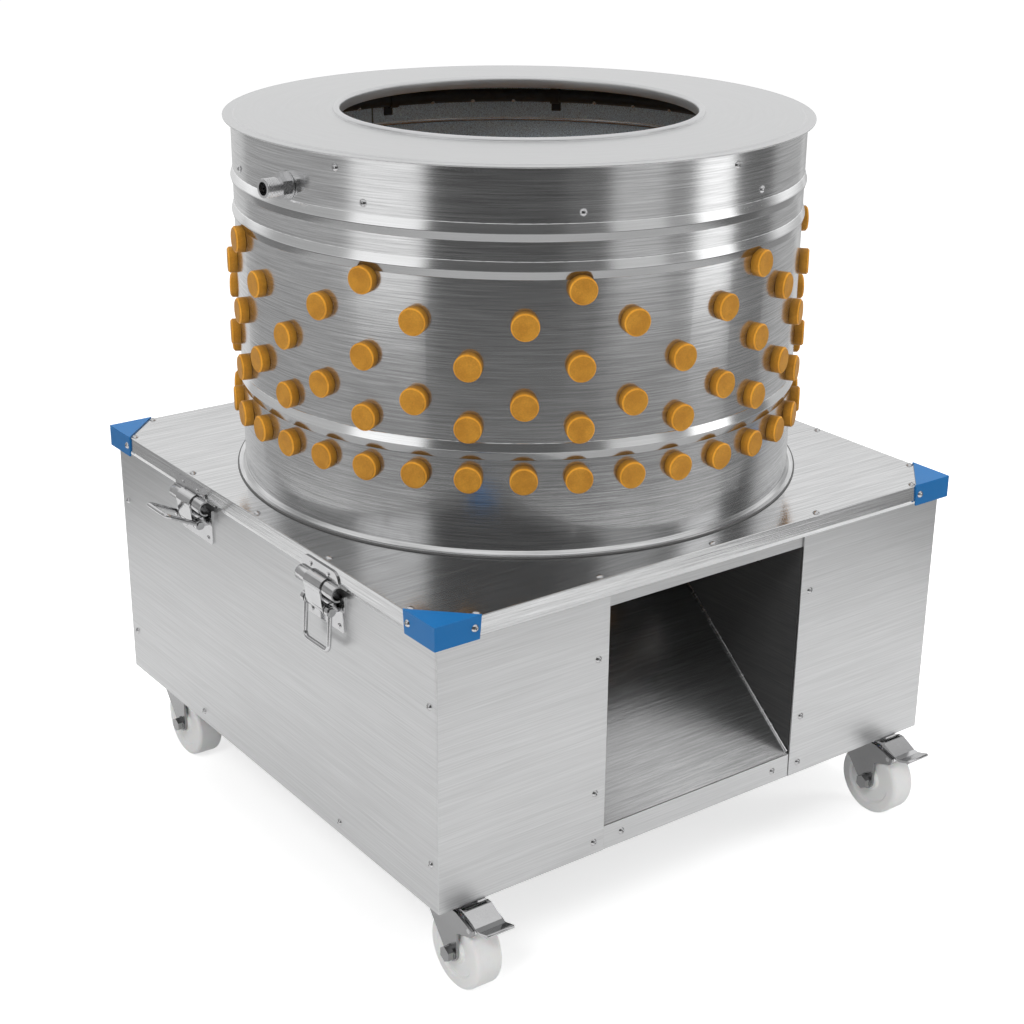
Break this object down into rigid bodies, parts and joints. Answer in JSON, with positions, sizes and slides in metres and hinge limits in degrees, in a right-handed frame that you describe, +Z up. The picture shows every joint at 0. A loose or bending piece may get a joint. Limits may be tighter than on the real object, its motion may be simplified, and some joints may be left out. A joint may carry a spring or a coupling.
{
  "type": "drum poultry plucker",
  "caption": "Drum poultry plucker: rubber-fingered steel drum on a hinged deck over a square cabinet on casters, with a belt-driven finger disc and a front feather chute.",
  "frame": {"origin": "on the floor, straight below the axis of the drum and of the feather disc", "axes": "+Z up along the drum's axis and out of its loading mouth, +X to the hinged right side, +Y to the rear; the feather chute faces -Y"},
  "size_m": [0.6668, 0.6908, 0.7235],
  "materials": {
    "sheet_steel": "brushed stainless sheet",
    "drum_steel": "stainless sheet brushed around the drum",
    "frame_steel": "satin stainless tube",
    "fastener_steel": "polished stainless",
    "zinc_steel": "grey zinc plate",
    "shaft_steel": "turned steel",
    "pulley_iron": "blackened cast iron",
    "cast_housing": "painted casting",
    "motor_paint": "grey-painted aluminium",
    "black_rubber": "matte black rubber",
    "ochre_rubber": "smooth ochre rubber",
    "blue_cap": "glossy blue plastic",
    "white_nylon": "white nylon",
    "black_plastic": "black plastic",
    "green_button": "glossy green plastic",
    "red_button": "glossy red plastic"
  },
  "bodies": {
    "cabinet": {"base_frame": "frame_steel", "left_panel": "sheet_steel", "right_panel": "sheet_steel", "back_panel": "sheet_steel", "front_left_panel": "sheet_steel", "front_right_panel": "sheet_steel", "front_sill": "sheet_steel", "chute": "sheet_steel", "feather_pan": "sheet_steel", "pan_ring": "sheet_steel", "panel_screws": "fastener_steel", "drive_mount": "frame_steel", "shaft_bearings": "cast_housing", "motor_body": "motor_paint", "motor_cowl": "motor_paint", "motor_terminal_box": "motor_paint", "v_belt": "black_rubber", "cable_gland": "black_plastic", "switch_box": "black_plastic", "caster_plates": "zinc_steel", "latch_bases": "fastener_steel", "hinge_lower": "fastener_steel"},
    "drum": {"deck": "sheet_steel", "deck_frame": "frame_steel", "corner_caps": "blue_cap", "deck_screws": "fastener_steel", "drum_shell": "drum_steel", "drum_lid": "drum_steel", "drum_fingers": "ochre_rubber", "spray_hose": "black_rubber", "hose_clips": "zinc_steel", "water_nipple": "fastener_steel", "drum_screws": "fastener_steel", "latch_keepers": "fastener_steel", "hinge_upper": "fastener_steel"},
    "rotor": {"feather_disc": "sheet_steel", "disc_fingers": "ochre_rubber", "main_shaft": "shaft_steel", "driven_pulley": "pulley_iron"},
    "motor_rotor": {"motor_pulley": "pulley_iron"},
    "lever_front": {"latch_lever_front": "fastener_steel"},
    "claw_front": {"latch_claw_front": "fastener_steel"},
    "lever_rear": {"latch_lever_rear": "fastener_steel"},
    "claw_rear": {"latch_claw_rear": "fastener_steel"},
    "caster_front_left": {"fork_front_left": "zinc_steel", "axle_front_left": "zinc_steel"},
    "caster_front_right": {"fork_front_right": "zinc_steel", "axle_front_right": "zinc_steel"},
    "caster_rear_left": {"fork_rear_left": "zinc_steel", "axle_rear_left": "zinc_steel"},
    "caster_rear_right": {"fork_rear_right": "zinc_steel", "axle_rear_right": "zinc_steel"},
    "roller_front_left": {"wheel_front_left": "white_nylon"},
    "roller_front_right": {"wheel_front_right": "white_nylon"},
    "roller_rear_left": {"wheel_rear_left": "white_nylon"},
    "roller_rear_right": {"wheel_rear_right": "white_nylon"},
    "pedal_left": {"brake_pedal_left": "zinc_steel"},
    "pedal_right": {"brake_pedal_right": "zinc_steel"},
    "start": {"start_button": "green_button"},
    "stop": {"stop_button": "red_button"}
  },
  "joints": [
    {"name": "drum_tilt", "type": "hinge", "parent": "cabinet", "child": "drum", "pos_m": [0.313, 0, 0.3445], "axis": [0, 1, 0], "range_deg": [0, 85]},
    {"name": "disc_spin", "type": "hinge", "parent": "cabinet", "child": "rotor", "pos_m": [0, 0, 0.3], "axis": [0, 0, 1], "continuous": true},
    {"name": "motor_spin", "type": "hinge", "parent": "cabinet", "child": "motor_rotor", "pos_m": [0, 0.168, 0.1], "axis": [0, 0, 1], "continuous": true},
    {"name": "lever_front_swing", "type": "hinge", "parent": "cabinet", "child": "lever_front", "pos_m": [-0.311, -0.125, 0.326], "axis": [0, 1, 0], "range_deg": [0, 116]},
    {"name": "lever_rear_swing", "type": "hinge", "parent": "cabinet", "child": "lever_rear", "pos_m": [-0.311, 0.125, 0.326], "axis": [0, 1, 0], "range_deg": [-112, 4]},
    {"name": "claw_front_swing", "type": "hinge", "parent": "cabinet", "child": "claw_front", "pos_m": [-0.311, -0.125, 0.326], "axis": [0, -1, 0], "range_deg": [0, 100]},
    {"name": "claw_rear_swing", "type": "hinge", "parent": "cabinet", "child": "claw_rear", "pos_m": [-0.311, 0.125, 0.326], "axis": [0, -1, 0], "range_deg": [0, 100]},
    {"name": "swivel_front_left", "type": "hinge", "parent": "cabinet", "child": "caster_front_left", "pos_m": [-0.264, -0.264, 0.088], "axis": [0, 0, 1], "continuous": true},
    {"name": "swivel_front_right", "type": "hinge", "parent": "cabinet", "child": "caster_front_right", "pos_m": [0.264, -0.264, 0.088], "axis": [0, 0, 1], "continuous": true},
    {"name": "swivel_rear_left", "type": "hinge", "parent": "cabinet", "child": "caster_rear_left", "pos_m": [-0.264, 0.264, 0.088], "axis": [0, 0, 1], "continuous": true},
    {"name": "swivel_rear_right", "type": "hinge", "parent": "cabinet", "child": "caster_rear_right", "pos_m": [0.264, 0.264, 0.088], "axis": [0, 0, 1], "continuous": true},
    {"name": "roll_front_left", "type": "hinge", "parent": "caster_front_left", "child": "roller_front_left", "pos_m": [-0.264, -0.29, 0.0375], "axis": [1, 0, 0], "continuous": true},
    {"name": "roll_front_right", "type": "hinge", "parent": "caster_front_right", "child": "roller_front_right", "pos_m": [0.264, -0.29, 0.0375], "axis": [1, 0, 0], "continuous": true},
    {"name": "roll_rear_left", "type": "hinge", "parent": "caster_rear_left", "child": "roller_rear_left", "pos_m": [-0.264, 0.238, 0.0375], "axis": [1, 0, 0], "continuous": true},
    {"name": "roll_rear_right", "type": "hinge", "parent": "caster_rear_right", "child": "roller_rear_right", "pos_m": [0.264, 0.238, 0.0375], "axis": [1, 0, 0], "continuous": true},
    {"name": "brake_left", "type": "hinge", "parent": "caster_front_left", "child": "pedal_left", "pos_m": [-0.264, -0.317, 0.074], "axis": [-1, 0, 0], "range_deg": [0, 15]},
    {"name": "brake_right", "type": "hinge", "parent": "caster_front_right", "child": "pedal_right", "pos_m": [0.264, -0.317, 0.074], "axis": [-1, 0, 0], "range_deg": [0, 15]},
    {"name": "start_press", "type": "slide", "parent": "cabinet", "child": "start", "axis": [0, -1, 0], "range_m": [0, 0.003], "stiffness_N_per_m": 400, "springref_m": -0.002},
    {"name": "stop_press", "type": "slide", "parent": "cabinet", "child": "stop", "axis": [0, -1, 0], "range_m": [0, 0.003], "stiffness_N_per_m": 400, "springref_m": -0.002}
  ],
  "couplings": [
    {"joint": "motor_spin", "follows": "disc_spin", "ratio": 4}
  ]
}
